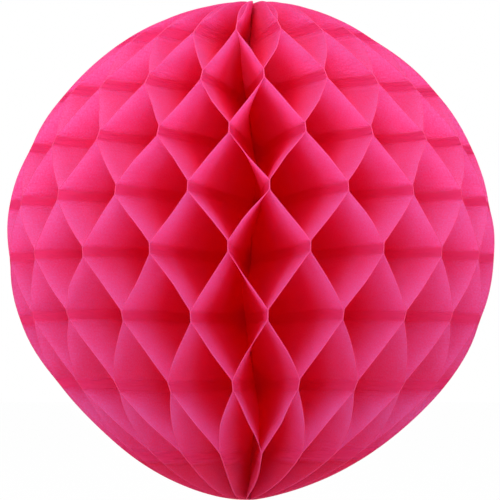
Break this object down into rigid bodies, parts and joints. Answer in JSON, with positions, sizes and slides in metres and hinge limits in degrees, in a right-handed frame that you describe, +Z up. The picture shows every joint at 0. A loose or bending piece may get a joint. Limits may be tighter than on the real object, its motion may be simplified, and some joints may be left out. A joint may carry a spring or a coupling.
{
  "type": "honeycomb paper ball",
  "caption": "Party decoration ball of tissue half-discs, glued in staggered rows and opened round a bound spine into a honeycomb of deep diamond cells.",
  "frame": {"origin": "on the ball's axis, halfway between its two poles", "axes": "+Z up along the axis from the lower pole to the upper one, -Y towards the viewer, +X to the right"},
  "size_m": [0.1942, 0.1946, 0.2],
  "materials": {
    "tissue": "matt dyed tissue paper, thin enough for light to show through",
    "thread": "matt twisted cotton"
  },
  "bodies": {
    "root": {"sheet_01": "tissue", "sheet_02": "tissue", "sheet_03": "tissue", "sheet_04": "tissue", "sheet_05": "tissue", "sheet_06": "tissue", "sheet_07": "tissue", "sheet_08": "tissue", "sheet_09": "tissue", "sheet_10": "tissue", "sheet_11": "tissue", "sheet_12": "tissue", "sheet_13": "tissue", "sheet_14": "tissue", "sheet_15": "tissue", "sheet_16": "tissue", "sheet_17": "tissue", "sheet_18": "tissue", "sheet_19": "tissue", "sheet_20": "tissue", "sheet_21": "tissue", "sheet_22": "tissue", "sheet_23": "tissue", "sheet_24": "tissue", "sheet_25": "tissue", "sheet_26": "tissue", "sheet_27": "tissue", "sheet_28": "tissue", "sheet_29": "tissue", "sheet_30": "tissue", "sheet_31": "tissue", "sheet_32": "tissue", "sheet_33": "tissue", "sheet_34": "tissue", "sheet_35": "tissue", "sheet_36": "tissue", "sheet_37": "tissue", "sheet_38": "tissue", "sheet_39": "tissue", "sheet_40": "tissue", "sheet_41": "tissue", "sheet_42": "tissue", "binding_thread": "thread"}
  },
  "joints": []
}
